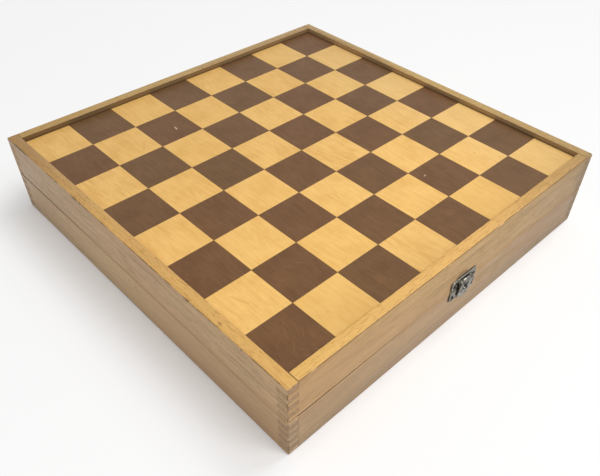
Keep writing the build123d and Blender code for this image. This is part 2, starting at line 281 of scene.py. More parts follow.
class WallWood(Wood):
    """Varnished solid wood of one wall. Threes of values run from its left or front end to the other."""

    def __init__(self, node, along, inward, heart, seed):
        super().__init__(node + "_wood", along, heart, ring_width=0.0036, sway=0.02, seed=seed)
        self.in_lid = node.startswith("lid")
        self.is_side = along == "Y"
        self.to_middle = self.rise(self.length, -CASE_SIDE, 0.0)
        self.past_middle = self.rise(self.length, 0.0, CASE_SIDE)
        mottle = self.fibres(130, 420, detail=3.0, roughness=0.6)
        self.figure = (
            self.late * 0.07 + (self.broad - 0.5) * 0.6 + (self.fine - 0.5) * 0.6
            + self.rays * 0.3 + (mottle - 0.5) * 0.5
        )
        self.uneven = self.noise(self.place, 700.0)
        self.dirt = self.rise(self.noise(self.place, 38.0, detail=4.0, roughness=0.65), 0.55, 0.8)

        # Which way a face looks
        across_x, across_y, upward = (abs(part) for part in self.parts(self.facing))
        self.square_on = across_x.larger(across_y).larger(upward)
        self.outside = self.fall(upward, 0.75, 0.9) * (1 - self.toward(inward, 0.2, 0.6))
        self.within = self.toward(inward)
        run = RIGHT if along == "X" else BACK
        self.cut = self.toward(run) + self.toward(tuple(-part for part in run))

        # The corners with their glue lines, and the seam between lid and base
        self.corner = abs(self.x).smaller(abs(self.y))
        self.in_corner = self.rise(self.corner, INNER_SIDE - 0.0003, INNER_SIDE)
        first, last = LID_LINES if self.in_lid else BASE_LINES
        pitch = (self.z - first) / FINGER
        line = self.fall(abs((pitch + 0.5).fraction() - 0.5), 0.03, 0.10)
        line = line * self.in_corner
        self.line = line * (self.z > first - LINES_REACH) * (self.z < last + LINES_REACH)
        edge_level = LID_EDGE if self.in_lid else BASE_EDGE
        self.by_seam = self.fall(abs(self.z - edge_level), 0.0006, 0.0010) * self.outside

    def down(self, start, middle, end):
        """Goes from start through middle to end down the length of the wall, as colours or as numbers."""
        if isinstance(start, tuple):
            return self.mix(self.past_middle, self.mix(self.to_middle, start, middle), end)
        return self.to_middle * (middle - start) + self.past_middle * (end - middle) + start

    def faces(self, face, fade, tips):
        """A greyed varnish over fine fibres, with a few brown streaks."""
        pale, deep = (1.13, 0.76) if self.in_lid else (1.06, 0.86)
        streaks = self.rise(self.fibres(7, 150, detail=3.0), 0.56, 0.74)
        colour = self.mix(self.rise(self.figure, -0.35, 0.65), scaled(face, pale), scaled(face, deep))
        colour = self.mix(streaks * 0.2, colour, scaled(face, 0.84, 0.74, 0.62))
        colour = self.mix(self.rise(self.drift, 0.42, 0.62) * 0.4, colour, scaled(face, 1.0, 0.93, 0.95))
        colour = self.shade(colour, self.down(*fade))
        # The base grows darker towards its bottom edge
        if not self.in_lid:
            colour = self.shade(colour, self.rise(self.z, -0.002, 0.022, 0.87, 1.0))
        return self.shade(colour, 1 - self.in_corner * (1 - tips))

    def rim(self, colour, stops):
        """The rim is yellower, with short brown dashes."""
        dashes = self.rise(self.fibres(230, 1900), 0.54, 0.68)
        top = self.down(*[tone(*stop) for stop in stops])
        top = self.mix(self.rise(self.figure, -0.15, 0.5) * 0.6, top, (0.70, 0.60, 0.46, 1.0), "MULTIPLY")
        top = self.mix(dashes * 0.55, top, (0.52, 0.40, 0.24, 1.0), "MULTIPLY")
        return self.mix(self.toward(UP, 0.6, 0.85) * (self.z > RIM - 0.002), colour, top)

    def end_grain(self, colour, ends):
        """End grain drinks a little more varnish, and shows the cut fibres as dots."""
        dots = self.rise(self.noise(self.place, 1900.0) + self.late * 0.2, 0.3, 0.8)
        return self.mix(self.cut, colour, self.mix(dots, tone(*ends), scaled(ends, 0.89, 0.875, 0.875)))

    def glue_lines(self, colour):
        """Dark lines round the fingers, and where the front and back rims stop at the side walls."""
        root = self.fall(self.corner, INNER_SIDE, INNER_SIDE + 0.0006) * self.cut
        share = (self.line * 0.34 + root * 0.2) * (self.uneven * 1.8)
        colour = self.mix(share, colour, tone(92, 68, 46))
        if self.in_lid and not self.is_side:
            stop = self.rise(abs(self.x), INNER_SIDE - 0.0006, INNER_SIDE - 0.0002) * self.toward(UP)
            colour = self.mix(stop * 0.75, colour, tone(64, 42, 26))
        return colour

    def inner_face(self, colour, recess_grime_and_shade, light):
        """Bare below the board; above it, painted shade and grime darken the recess, most at its foot by
        the board.
        """
        bare = self.mix(self.rise(self.figure, -0.2, 0.8), tone(214, 184, 142), tone(186, 150, 108))
        colour = self.mix(self.within * (self.z < BOARD), colour, bare)
        # Painted shade and grime on the recess walls above the board, varied down each wall
        shaded_recess = self.shade(tone(*recess_grime_and_shade), (0.75 + self.broad * 0.5) * self.down(*light))
        # Painted shadow that deepens towards the foot of the recess wall, by the board
        foot_shade = self.rise(self.z, BOARD + 0.0001, BOARD + 0.0011, 0.45, 1.0)
        return self.mix(self.within * (self.z > BOARD - 0.0002), colour, self.shade(shaded_recess, foot_shade))

    def seam(self, colour, seam_dirt_and_shade, wear_and_highlight):
        """Painted shadow and dirt in the seam, painted light on the lid's lower edge, and a painted
        highlight along the base's top.
        """
        black, pale = tone(66, 38, 8), tone(236, 200, 150)
        seam_dirt_and_shade = self.down(*seam_dirt_and_shade)
        seam_dirt_and_shade = seam_dirt_and_shade + self.cut * ((1.0 if self.is_side else 0.1) - seam_dirt_and_shade)
        if self.in_lid:
            # Painted light on the lid's lower edge where the seam is clean
            colour = self.mix(self.by_seam * (1 - seam_dirt_and_shade) * 0.42, colour, pale)
            # Painted shadow and dirt along the lid's lower edge, in the seam
            return self.mix(self.by_seam * seam_dirt_and_shade * (0.6 + self.uneven * 0.7), colour, black)
        # A painted highlight along the base's top edge
        ridge = self.rise(self.z, BASE_EDGE - 0.0012, BASE_EDGE - 0.0006) * self.outside
        ridge = ridge * self.down(*wear_and_highlight) * (0.2 + self.uneven * 0.6)
        colour = self.mix(ridge, colour, tone(240, 202, 142))
        # Painted shadow and dirt just under the seam, on the base's top edge
        shade = self.rise(self.z, BASE_EDGE - 0.0005, BASE_EDGE - 0.0003) * self.outside
        return self.mix(shade * seam_dirt_and_shade * 0.95, colour, black)

    def edges(self, colour, grime):
        """Rounded edges hold dirt in short runs; between them they are worn pale, partly a painted
        highlight.
        """
        edge = self.fall(self.square_on, 0.86, 0.985) * (1 - self.by_seam)
        spread = self.point(self.x * 70, self.y * 70, self.z * 300 + self.seed)
        runs = self.noise(spread, detail=3.0, roughness=0.7)
        colour = self.mix(edge * self.rise(runs, grime, grime + 0.14) * 0.6, colour, tone(98, 66, 38))
        # Worn pale edges between the dirt runs, partly a painted highlight
        return self.mix(edge * self.fall(runs, 0.32, 0.42) * 0.35, colour, tone(226, 194, 146))

    def handling(self, colour, marks):
        """Patches greyed by hands, and the single marks."""
        colour = self.mix(self.dirt * 0.14 * self.outside, colour, tone(104, 86, 64))
        for centre, reach, mark, strength in marks:
            oval = self.spot(centre, reach, ragged=0.28, grain=420.0)
            colour = self.mix(oval * strength, colour, tone(*mark))
        return colour


def wall_finish(
    node, along, inward, heart, seed, face, fade, rim, ends, tips=1.0, recess_grime_and_shade=(148, 118, 80),
    recess_shade_fade=(1.0, 1.0, 1.0), seam_dirt_and_shade=(0.4, 0.4, 0.4), wear_and_highlight=(0.3, 0.3, 0.3), grime=0.44, marks=(),
):
    """The whole finish of one wall, laid on in the order in which each layer hides the last."""
    wood = WallWood(node, along, inward, heart, seed)
    colour = wood.faces(face, fade, tips)
    colour = wood.rim(colour, rim)
    colour = wood.end_grain(colour, ends)
    colour = wood.glue_lines(colour)
    colour = wood.inner_face(colour, recess_grime_and_shade, recess_shade_fade)
    colour = wood.seam(colour, seam_dirt_and_shade, wear_and_highlight)
    colour = wood.edges(colour, grime)
    colour = wood.handling(colour, marks)
    roughness = 0.44 + (wood.broad - 0.5) * 0.22 + wood.dirt * 0.12 + wood.within * 0.2 + wood.cut * 0.12
    relief = (wood.broad - 0.5) * 0.4 + (wood.fine - 0.5) * 0.4
    relief = relief - wood.rays * 0.4 - wood.late * 0.1 - wood.line
    return wood.cover(colour, roughness, relief, depth=0.0001, fixed={"Specular IOR Level": 0.3})


class Veneer(Finish):
    """Chess squares: each one its own leaf of varnished veneer, cut from its own part of the log."""

    def __init__(self, name):
        super().__init__(name)
        self.column = self.x / SQUARE + 4
        self.row = self.y / SQUARE + 4
        leaf = self.point(self.column.whole(), self.row.whole(), 0.0)
        picks = self.node("ShaderNodeTexWhiteNoise", {"noise_dimensions": "3D"}, {"Vector": leaf}, "Color")
        first, self.second, self.third = self.parts(picks)
        self.down = self.y + first * 3.0
        self.over = self.x + self.y * (self.second - 0.5) * 0.22
        self.broad = self.streaks(24, 420, 5, detail=3.0)
        self.fine = self.streaks(70, 2200, 7)
        self.cloud = self.streaks(60, 60, 11, detail=4.0, roughness=0.6)
        self.mottle = self.streaks(110, 560, 13, detail=3.0, roughness=0.6)

    def streaks(self, down, over, depth, detail=2.0, roughness=0.5):
        """Noise drawn out down the leaf, and different in each leaf."""
        spread = self.point(self.down * down, self.over * over, self.third * depth)
        return self.noise(spread, detail=detail, roughness=roughness)

    def pale_leaf(self):
        """Pale wood with soft growth rings, paled to the right by a painted sheen, and darkened by painted
        shade towards the back and in the row by the front rim.
        """
        drift = self.streaks(22, 42, 9)
        ring = ((self.over + (drift - 0.5) * 0.022) / (0.0034 + 0.002 * self.second)).fraction()
        late = self.rise(ring, 0.2, 0.9) * self.fall(ring, 0.9, 1.0)
        figure = (
            late * 0.10 * self.second + (self.broad - 0.5) * 0.5 + (self.fine - 0.5) * 0.25
            + (self.cloud - 0.5) + (self.mottle - 0.5) * 0.85
        )
        colour = self.mix(self.rise(figure, -0.35, 0.7), tone(241, 195, 118), tone(212, 160, 84))
        colour = self.mix(self.third * 0.35, colour, tone(234, 185, 103))
        # Painted sheen, paling the squares towards the right
        colour = self.mix(self.rise(self.x, 0.05, INNER_SIDE) * 0.3, colour, tone(219, 191, 137))
        # Painted light falling off from front to back
        colour = self.shade(colour, self.rise(self.y, -0.11, INNER_SIDE, 1.07, 0.95))
        # Painted shade in the row by the front rim
        front_row_shade = self.rise(self.y, -INNER_SIDE, -2.5 * SQUARE, 0.86, 1.0)
        return self.shade(colour, front_row_shade)

    def dark_leaf(self):
        """Dark wood, redder in some leaves and more olive in others."""
        figure = (
            (self.broad - 0.5) * 0.5 + (self.fine - 0.5) * 0.5
            + (self.cloud - 0.5) * 1.1 + (self.mottle - 0.5) * 1.05
        )
        depth = self.rise(figure, -0.5, 0.5)
        red = self.mix(depth, tone(121, 86, 56), tone(105, 72, 45))
        olive = self.mix(depth, tone(119, 88, 57), tone(102, 75, 47))
        return self.mix(self.rise(self.second, 0.3, 0.8, 0.15, 0.75), red, olive)

    def marked(self, colour, marks):
        """Single marks. A mark's place is counted in squares from the board's front left corner."""
        for (board_x, board_y), reach, turn, mark, strength in marks:
            centre = ((board_x - 4) * SQUARE, (board_y - 4) * SQUARE, BOARD)
            oval = self.spot(centre, (*reach, 0.01), turn, ragged=0.4, grain=500.0)
            colour = self.mix(oval * strength, colour, tone(*mark))
        return colour


def veneer_finish(name, light, marks):
    """The whole finish of the pale or of the dark squares."""
    leaf = Veneer(name)
    colour = leaf.marked(leaf.pale_leaf() if light else leaf.dark_leaf(), marks)

    # Rubbed lines from chessmen that were slid across the varnish
    lines = leaf.noise(leaf.point((leaf.x + leaf.y) * 2200, (leaf.x - leaf.y) * 45, 0.0), detail=1.0)
    patch = leaf.rise(leaf.noise(leaf.place, 24.0), 0.56, 0.7)
    wear_and_highlight = leaf.rise(lines, 0.66, 0.76) * patch
    colour = leaf.mix(wear_and_highlight * (0.10 if light else 0.28), colour, tone(206, 170, 130))

    # Fine dark joints between the leaves, and painted shade where the board meets the rim
    edge_x = abs(leaf.column.fraction() - 0.5)
    edge_y = abs(leaf.row.fraction() - 0.5)
    joint = leaf.rise(edge_x.larger(edge_y), 0.490, 0.4985)
    colour = leaf.mix(joint * 0.55, colour, tone(84, 54, 32))
    rim_contact_shade = leaf.rise(abs(leaf.x).larger(abs(leaf.y)), INNER_SIDE - 0.0011, INNER_SIDE - 0.0002)
    colour = leaf.mix(rim_contact_shade * 0.6, colour, tone(70, 44, 26))

    roughness = 0.42 + (leaf.cloud - 0.5) * 0.2 + wear_and_highlight * 0.2
    relief = (leaf.broad - 0.5) * 0.4 + (leaf.fine - 0.5) * 0.3 - joint * 1.2
    return leaf.cover(colour, roughness, relief, depth=0.00008, fixed={"Specular IOR Level": 0.16})


def ply_finish(name, along, pale, dark, middle=0.0, thickness=None):
    """Bare plywood: a plain face leaf, and three layers where the top edge of a divider shows."""
    ply = Wood(name, along, heart=(0.09, 0.21), ring_width=0.0052, sway=0.03, seed=4.0 + middle * 50)
    cloud = ply.noise(ply.place, 30.0, detail=4.0, roughness=0.6)
    figure = ply.late * 0.35 + (ply.broad - 0.5) * 0.7 + (ply.fine - 0.5) * 0.3 + (cloud - 0.5) * 0.5
    colour = ply.mix(ply.rise(figure, -0.3, 0.8), tone(*pale), tone(*dark))
    if thickness:
        layer = (ply.across - middle) / thickness * 3 + 0.5
        core = 1 - (abs(layer.whole()) > 0.5)
        glue = ply.rise(abs(layer.fraction() - 0.5), 0.44, 0.5)
        cut = ply.mix(core * 0.6, tone(196, 160, 114), tone(148, 108, 70))
        cut = ply.mix(glue * 0.7, cut, tone(96, 66, 42))
        cut = ply.shade(cut, 0.86 + ply.fine * 0.28)
        colour = ply.mix(ply.toward(UP, 0.5, 0.8), colour, cut)
    relief = (ply.broad - 0.5) * 0.6 + (ply.fine - 0.5) * 0.6 - ply.late * 0.2
    return ply.cover(colour, 0.62 + (ply.broad - 0.5) * 0.2, relief, depth=0.00012)


# ---------------------------------------------------------------- metals

def plate_finish(name, clean, tarnish, outline=None, marks=()):
    """Thin nickel plate, dulled and stained, with a painted highlight on its raised border and dirt in a
    groove inside an outline.
    """
    metal = Finish(name)
    cloud = metal.noise(metal.place, 260.0, detail=5.0, roughness=0.65)
    speck = metal.noise(metal.place, 1500.0, detail=3.0, roughness=0.6)
    brushed = metal.noise(metal.point(metal.x * 300, metal.y * 4000, metal.z * 4000))
    spoiled = metal.rise(cloud + (speck - 0.5) * 0.3, 0.40, 0.75)
    colour = metal.mix(spoiled, tone(*clean), tone(*tarnish))
    if outline:
        low, high = outline
        inset = (high.x - abs(metal.x)).smaller((high.z - metal.z).smaller(metal.z - low.z))
        groove = metal.rise(inset, 0.0009, 0.0013) * metal.fall(inset, 0.0014, 0.0022)
        colour = metal.mix(groove * 0.55, colour, tone(58, 50, 40))
        # A painted highlight on the raised border just inside the outline
        colour = metal.mix(metal.fall(inset, 0.0009, 0.0013) * 0.35, colour, scaled(clean, 1.15))
    for centre, reach, mark, strength in marks:
        colour = metal.mix(metal.spot(centre, reach, ragged=0.2) * strength, colour, tone(*mark))
    roughness = 0.30 + spoiled * 0.28 + (speck - 0.5) * 0.15
    relief = (brushed - 0.5) * 0.2 + (speck - 0.5) * 0.3
    return metal.cover(colour, roughness, relief, depth=0.0001, fixed={"Metallic": 1.0})


# ---------------------------------------------------------------- pieces

def press_border(form, low, high):
    """Adds the raised border that is pressed into a clasp plate just inside its outline."""
    face = high.y - SHEET
    rings = []
    for inset, height in BORDER_STEPS:
        left, right = low.x + inset, high.x - inset
        bottom, top = low.z + inset, high.z - inset
        cut = PLATE_CORNER - inset * (2 - math.sqrt(2))
        outline = (
            (left + cut, bottom), (right - cut, bottom), (right, bottom + cut), (right, top - cut),
            (right - cut, top), (left + cut, top), (left, top - cut), (left, bottom + cut),
        )
        rings.append([form.verts.new((x, face - height, z)) for x, z in outline])
    faces = []
    for ring, following in zip(rings, rings[1:] + rings[:1]):
        for turn in range(len(ring)):
            corners = ring[turn - 1], ring[turn], following[turn], following[turn - 1]
            faces.append(form.faces.new(corners))
    bmesh.ops.recalc_face_normals(form, faces=faces)


def lobe_laid_in(place):
    """The hasp's lobe, bent a little less far out from the plate than the sheet as it is cut."""
    share = max(0.0, (hasp_low.z + LOBE_HEIGHT - place.z) / LOBE_HEIGHT)
    return place.x, place.y + LOBE_IN * share, place.z + LOBE_UP * share


def wall_share(edge):
    """The share of the widest rounding that a wall's edge gets: all of it at the case's own corners."""
    start, end = (vert.co for vert in edge.verts)
    middle = (start + end) / 2
    near, far = sorted((abs(middle.x), abs(middle.y)))
    at_corner = near > INNER_SIDE - BY_JOINT
    upright = abs(start.z - end.z) > 0.9 * edge.calc_length()
    to_level = min(abs(middle.z - level) for level in (base_low.z, BASE_EDGE, LID_EDGE, RIM))
    if upright and at_corner and far > CASE_SIDE - BY_CORNER:
        return 1.0
    if at_corner and to_level > BY_LEVEL:
        return JOINT_EASE / CORNER_EASE
    return WALL_EASE / CORNER_EASE


def eased(node, ease, finish, body, slot, share=None, lay=None, border=False):
    """A CAD piece with its sharp outer edges rounded over, standing for that piece."""
    form = bmesh.new()
    form.from_mesh(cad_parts[node].data)
    bmesh.ops.remove_doubles(form, verts=form.verts, dist=SAME_PLACE)
    for vert in form.verts if lay else ():
        vert.co = lay(vert.co)
    bmesh.ops.dissolve_limit(form, angle_limit=FLAT, verts=form.verts, edges=form.edges)
    weight = form.edges.layers.float.new("bevel_weight_edge")
    for edge in form.edges:
        if len(edge.link_faces) == 2 and edge.is_convex and edge.calc_face_angle() >= SHARP:
            edge[weight] = share(edge) if share else 1.0
    if border:
        press_border(form, *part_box(node))
    mesh = bpy.data.meshes.new(node + "_form")
    form.to_mesh(mesh)
    form.free()
    for polygon in mesh.polygons:
        polygon.use_smooth = True
    piece = bpy.data.objects.new(node + "_eased", mesh)
    bpy.context.scene.collection.objects.link(piece)
    rounding = piece.modifiers.new("rounding", "BEVEL")
    rounding.limit_method = "WEIGHT"
    rounding.width = ease
    rounding.segments = 2
    rounding.use_clamp_overlap = False
    rounding.harden_normals = True
    settle(piece, finish, body, node)


def settle(piece, finish, body, node):
    """Turns a piece's modifiers into plain mesh, gives it its finish and lets it ride on its body."""
    ready = piece.evaluated_get(bpy.context.evaluated_depsgraph_get())
    mesh = bpy.data.meshes.new_from_object(ready)
    piece.modifiers.clear()
    piece.data = mesh
    mesh.materials.clear()
    mesh.materials.append(finish)
    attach(piece, body)
    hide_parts(node)


def dress(node, finish):
    """Gives a CAD piece its finish."""
    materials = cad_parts[node].data.materials
    materials.clear()
    materials.append(finish)


class Jig(Bench):
    """A geometry tree with named sizes, which sets one fastener at every point it is given."""

    SIZES = "Head Radius", "Head Height", "Shank Radius", "Length"
    KINDS = {"Lean": "NodeSocketVector", "Seed": "NodeSocketInt", "Metal": "NodeSocketMaterial"}

    def __init__(self, name, *more_sizes):
        super().__init__(bpy.data.node_groups.new(name, "GeometryNodeTree"))
        sockets = self.tree.interface
        sockets.new_socket("Geometry", in_out="INPUT", socket_type="NodeSocketGeometry")
        self.keys = {}
        for label in (*self.SIZES, *more_sizes, *self.KINDS):
            kind = self.KINDS.get(label, "NodeSocketFloat")
            self.keys[label] = sockets.new_socket(label, in_out="INPUT", socket_type=kind).identifier
        sockets.new_socket("Geometry", in_out="OUTPUT", socket_type="NodeSocketGeometry")
        self.entry = self.node("NodeGroupInput").socket.node

    def size(self, label):
        return Reading(self, self.entry.outputs[label])

    def turned(self, rings, sides=28):
        """A closed shape turned about Z, given as (height, radius) from its lowest point up."""
        steps = []
        for (low, low_radius), (high, high_radius) in zip(rings, rings[1:]):
            cone = self.node(
                "GeometryNodeMeshCone",
                {"fill_type": "NONE"},
                {
                    "Vertices": sides,
                    "Radius Top": high_radius,
                    "Radius Bottom": low_radius,
                    "Depth": high - low,
                },
            )
            lift = self.node("ShaderNodeCombineXYZ", values={2: low})
            steps.append(self.node("GeometryNodeTransform", values={"Geometry": cone, "Translation": lift}))
        joined = self.node("GeometryNodeJoinGeometry", values={0: steps})
        return self.node("GeometryNodeMergeByDistance", values={"Geometry": joined, "Distance": SAME_RING})

    def place(self, fastener):
        """Sets the fastener at the points, each turned a little differently, as plain mesh."""
        set_down = self.node(
            "GeometryNodeInstanceOnPoints",
            values={"Points": self.size("Geometry"), "Instance": fastener, "Rotation": self.size("Lean")},
        )
        angle = self.node(
            "FunctionNodeRandomValue",
            {"data_type": "FLOAT"},
            {2: 0.0, 3: math.pi, "Seed": self.size("Seed")},
            1,
        )
        turn = self.node("ShaderNodeCombineXYZ", values={2: angle})
        spun = self.node("GeometryNodeRotateInstances", values={"Instances": set_down, "Rotation": turn})
        plain = self.node("GeometryNodeRealizeInstances", values={"Geometry": spun})
        smooth = self.node("GeometryNodeSetShadeSmooth", {"domain": "FACE"}, {"Geometry": plain})
        creased = self.node(
            "GeometryNodeSetShadeSmooth",
            {"domain": "EDGE"},
            {
                "Geometry": smooth,
                "Selection": self.node("GeometryNodeInputMeshEdgeAngle") > CREASE,
                "Shade Smooth": False,
            },
        )
        metal = self.node(
            "GeometryNodeSetMaterial", values={"Geometry": creased, "Material": self.size("Metal")}
        )
        self.node("NodeGroupOutput", values={0: metal})

    def fasten(self, name, points, sizes, finish, body, slot, node):
        """The fasteners of one CAD group, at their points."""
        mesh = bpy.data.meshes.new(name)
        mesh.from_pydata(points, [], [])
        piece = bpy.data.objects.new(name, mesh)
        bpy.context.scene.collection.objects.link(piece)
        modifier = piece.modifiers.new("jig", "NODES")
        modifier.node_group = self.tree
        for label, value in {**sizes, "Metal": finish}.items():
            modifier[self.keys[label]] = value
        settle(piece, finish, body, node)


def nail_jig():
    """A round-headed nail: a low dome, a flat underside, a shank and a point."""
    jig = Jig("nail")
    head, height = jig.size("Head Radius"), jig.size("Head Height")
    shank, length = jig.size("Shank Radius"), jig.size("Length")
    point = [(-length, 0.0), (length * -0.86, shank * 0.96), (0.0, shank)]
    rim = [(0.0, head * 0.96), (height * 0.12, head)]
    dome = [(height * math.sin(a), head * math.cos(a) ** 0.8) for a in (0.25, 0.55, 0.85, 1.15, 1.4)]
    jig.place(jig.turned(point + rim + dome + [(height, 0.0)]))
    return jig


def screw_jig():
    """A countersunk screw: a slotted flat head over a tapering shank."""
    jig = Jig("screw", "Slot")
    head, height = jig.size("Head Radius"), jig.size("Head Height")
    shank, length = jig.size("Shank Radius"), jig.size("Length")
    point = [(-length, 0.0), (length * -0.72, shank * 0.9), (-height, shank)]
    top = [(height * -0.06, head), (height * -0.01, head * 0.97), (0.0, head * 0.94), (0.0, 0.0)]
    cut = jig.node("ShaderNodeCombineXYZ", values={0: head * 3, 1: jig.size("Slot"), 2: height * 0.8})
    cutter = jig.node("GeometryNodeMeshCube", values={"Size": cut})
    blank = jig.turned(point + top)
    slotted = jig.node(
        "GeometryNodeMeshBoolean", {"operation": "DIFFERENCE"}, {"Mesh 1": blank, "Mesh 2": cutter}
    )
    jig.place(slotted)
    return jig


# ---------------------------------------------------------------- the case

# Marks on the walls: their middle, their reach along x, y and z, their colour and how much they cover
far_corner_mark = (CASE_SIDE, -CASE_SIDE, 0.0300), (0.0120, 0.0040, 0.0800), (120, 102, 70), 0.40
lid_front_marks = (
    ((-0.0035, -CASE_SIDE, 0.0412), (0.0070, 0.002, 0.0030), (104, 72, 38), 0.45),
    # Painted shadow along the plate's top edge, partly stain
    ((0.0, -CASE_SIDE, 0.0388), (0.0138, 0.002, 0.0012), (50, 35, 22), 0.85),
    # Painted shade on the wood in the gap between the two plates
    ((0.0, -CASE_SIDE, 0.0310), (0.0150, 0.002, 0.0030), (74, 66, 54), 0.9),
    # Painted shadow beside the plate's left edge, partly stain
    ((-0.0129, -CASE_SIDE, 0.0350), (0.0011, 0.002, 0.0048), (36, 26, 18), 0.9),
    ((0.1470, -CASE_SIDE, 0.0460), (0.0200, 0.010, 0.0240), (124, 104, 80), 0.35),
    ((0.0178, -CASE_SIDE, 0.0360), (0.0004, 0.002, 0.0052), (132, 96, 62), 0.45),
    far_corner_mark,
)
base_front_marks = (
    # Painted shadow beside the plate's left edge, partly stain
    ((-0.0129, -CASE_SIDE, 0.0260), (0.0011, 0.002, 0.0054), (36, 26, 18), 0.9),
    # Painted shade on the wood in the gap between the two plates
    ((0.0, -CASE_SIDE, 0.0304), (0.0150, 0.002, 0.0030), (74, 66, 54), 0.9),
    far_corner_mark,
)
lid_left_marks = (
    ((-CASE_SIDE, 0.128, RIM - 0.0004), (0.0012, 0.015, 0.0007), (52, 36, 24), 0.75),
    ((-CASE_SIDE, 0.077, RIM - 0.0005), (0.0014, 0.0018, 0.0008), (66, 44, 26), 0.5),
    ((-CASE_SIDE, 0.0535, RIM - 0.0005), (0.0014, 0.0045, 0.0007), (60, 40, 26), 0.5),
    ((-CASE_SIDE, 0.0465, RIM - 0.0005), (0.0014, 0.0016, 0.0010), (60, 40, 26), 0.5),
    ((-CASE_SIDE, -0.0672, RIM - 0.0006), (0.0016, 0.0020, 0.0009), (70, 48, 30), 0.5),
    ((-CASE_SIDE, -0.1131, RIM - 0.0008), (0.0014, 0.0012, 0.0008), (70, 48, 30), 0.5),
    ((-0.1396, -0.0322, RIM), (0.0006, 0.0030, 0.001), (84, 54, 30), 0.5),
    ((-0.1448, -0.0925, RIM), (0.0009, 0.0022, 0.001), (128, 86, 44), 0.6),
    ((-CASE_SIDE, 0.1045, 0.0512), (0.001, 0.0009, 0.0007), (84, 70, 56), 0.5),
    ((-CASE_SIDE, -0.1399, 0.0545), (0.001, 0.0008, 0.0008), (98, 76, 56), 0.7),
)
base_left_marks = (
    ((-CASE_SIDE, 0.0012, 0.0245), (0.001, 0.0016, 0.0010), (112, 84, 58), 0.6),
    ((-CASE_SIDE, -0.006, 0.0240), (0.001, 0.0010, 0.0012), (118, 90, 62), 0.5),
)
lid_back_marks = (
    ((0.085, 0.1415, RIM), (0.080, 0.0034, 0.001), (140, 108, 66), 0.28),
    ((0.022, 0.1430, RIM), (0.012, 0.0034, 0.001), (140, 108, 66), 0.22),
)
lid_right_marks = (
    ((0.1420, 0.090, RIM), (0.0044, 0.080, 0.001), (132, 98, 58), 0.30),
    ((0.1415, 0.105, RIM), (0.0008, 0.020, 0.001), (112, 80, 46), 0.30),
    ((0.1432, 0.060, RIM), (0.0007, 0.016, 0.001), (112, 80, 46), 0.30),
    far_corner_mark,
)
walls = {
    "lid_front_wall": {
        "along": "X", "inward": BACK, "heart": (0.02, 0.004), "seed": 1.3,
        "face": (198, 160, 106), "fade": (1.01, 0.91, 0.69),
        "rim": ((228, 182, 104), (228, 180, 105), (184, 145, 83)), "ends": (209, 172, 123),
        "seam_dirt_and_shade": (1.0, 0.1, 0.0), "grime": 0.30, "marks": lid_front_marks,
    },
    "lid_back_wall": {
        "along": "X", "inward": FRONT, "heart": (0.20, 0.11), "seed": 2.1,
        "face": (208, 174, 126), "fade": (1.0, 0.98, 0.95),
        "rim": ((186, 151, 92), (190, 157, 99), (181, 147, 90)), "ends": (209, 172, 123),
        "recess_shade_fade": (0.68, 0.84, 0.86), "marks": lid_back_marks,
    },
    "lid_left_wall": {
        "along": "Y", "inward": RIGHT, "heart": (-0.08, 0.10), "seed": 3.7,
        "face": (204, 168, 124), "fade": (1.02, 1.01, 0.83), "tips": 0.98,
        "rim": ((218, 172, 98), (212, 167, 97), (170, 131, 76)), "ends": (188, 152, 112),
        "seam_dirt_and_shade": (0.0, 0.2, 1.35), "marks": lid_left_marks,
    },
    "lid_right_wall": {
        "along": "Y", "inward": LEFT, "heart": (0.20, 0.00), "seed": 5.2,
        "face": (210, 175, 130), "fade": (1.0, 0.98, 0.95),
        "rim": ((176, 144, 88), (196, 163, 101), (192, 162, 111)), "ends": (188, 152, 112),
        "recess_grime_and_shade": (168, 138, 98), "recess_shade_fade": (0.80, 1.06, 1.28), "marks": lid_right_marks,
    },
    "base_front_wall": {
        "along": "X", "inward": BACK, "heart": (0.05, 0.09), "seed": 6.4,
        "face": (190, 155, 112), "fade": (0.97, 0.97, 0.73), "tips": 0.78,
        "rim": ((226, 186, 126), (224, 184, 124), (220, 180, 122)), "ends": (188, 153, 116),
        "seam_dirt_and_shade": (1.0, 0.1, 0.0), "wear_and_highlight": (1.0, 0.15, 0.1), "marks": base_front_marks,
    },
    "base_back_wall": {
        "along": "X", "inward": FRONT, "heart": (0.21, -0.04), "seed": 7.9,
        "face": (204, 170, 130), "fade": (1.0, 0.98, 0.95), "tips": 0.9,
        "rim": ((226, 186, 126), (224, 184, 124), (220, 180, 122)), "ends": (188, 153, 116),
    },
    "base_left_wall": {
        "along": "Y", "inward": RIGHT, "heart": (-0.19, 0.06), "seed": 8.3,
        "face": (206, 171, 125), "fade": (0.96, 1.07, 0.92), "tips": 0.92,
        "rim": ((224, 184, 124), (222, 182, 122), (218, 178, 120)), "ends": (196, 166, 129),
        "seam_dirt_and_shade": (0.0, 0.2, 1.35), "wear_and_highlight": (0.5, 0.2, 0.0), "marks": base_left_marks,
    },
    "base_right_wall": {
        "along": "Y", "inward": LEFT, "heart": (0.23, 0.03), "seed": 9.6,
        "face": (206, 172, 132), "fade": (1.0, 0.98, 0.95), "tips": 0.9,
        "rim": ((224, 184, 124), (222, 182, 122), (218, 178, 120)), "ends": (196, 166, 129),
        "marks": (far_corner_mark,),
    },
}
for node, wood in walls.items():
    body = node.split("_")[0]
    eased(node, CORNER_EASE, wall_finish(node, **wood), body, body + "_walls", wall_share)

# ---------------------------------------------------------------- the board and the inside

